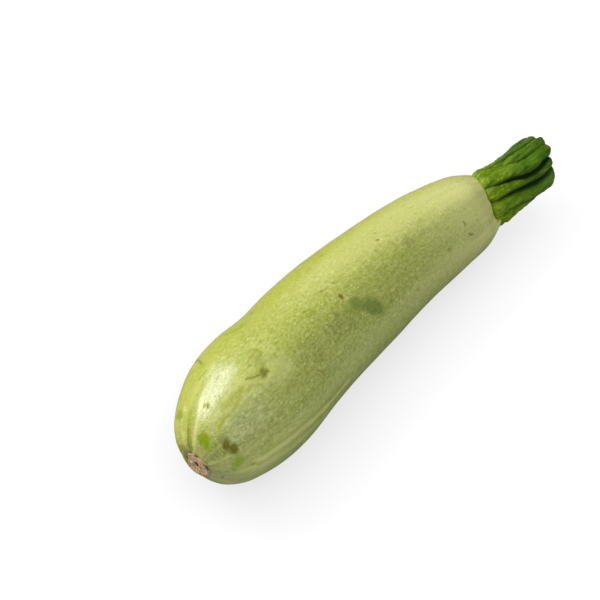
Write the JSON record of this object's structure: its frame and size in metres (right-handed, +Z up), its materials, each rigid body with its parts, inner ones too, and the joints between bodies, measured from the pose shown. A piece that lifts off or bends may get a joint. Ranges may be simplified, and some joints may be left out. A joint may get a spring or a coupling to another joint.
{
  "type": "courgette",
  "caption": "Pale green courgette lying on its side: a slightly bowed, bulbous fruit with a ribbed dark green stalk stub at one end and a corky blossom scar at the other.",
  "frame": {"origin": "middle of the courgette's box, on the surface that it lies on", "axes": "+X along the fruit from the blossom end towards the stalk, +Z up"},
  "size_m": [0.1986, 0.0486, 0.0473],
  "materials": {
    "skin": "waxy semi-gloss plant skin, pale yellow-green with fine light specks",
    "stalk": "satin plant stem, dark green, knobbly on the crests of the ribs",
    "scar_cork": "dry tan cork with a dark cracked rim"
  },
  "bodies": {
    "root": {"fruit": "skin", "stalk": "stalk", "blossom_scar": "scar_cork"}
  },
  "joints": []
}
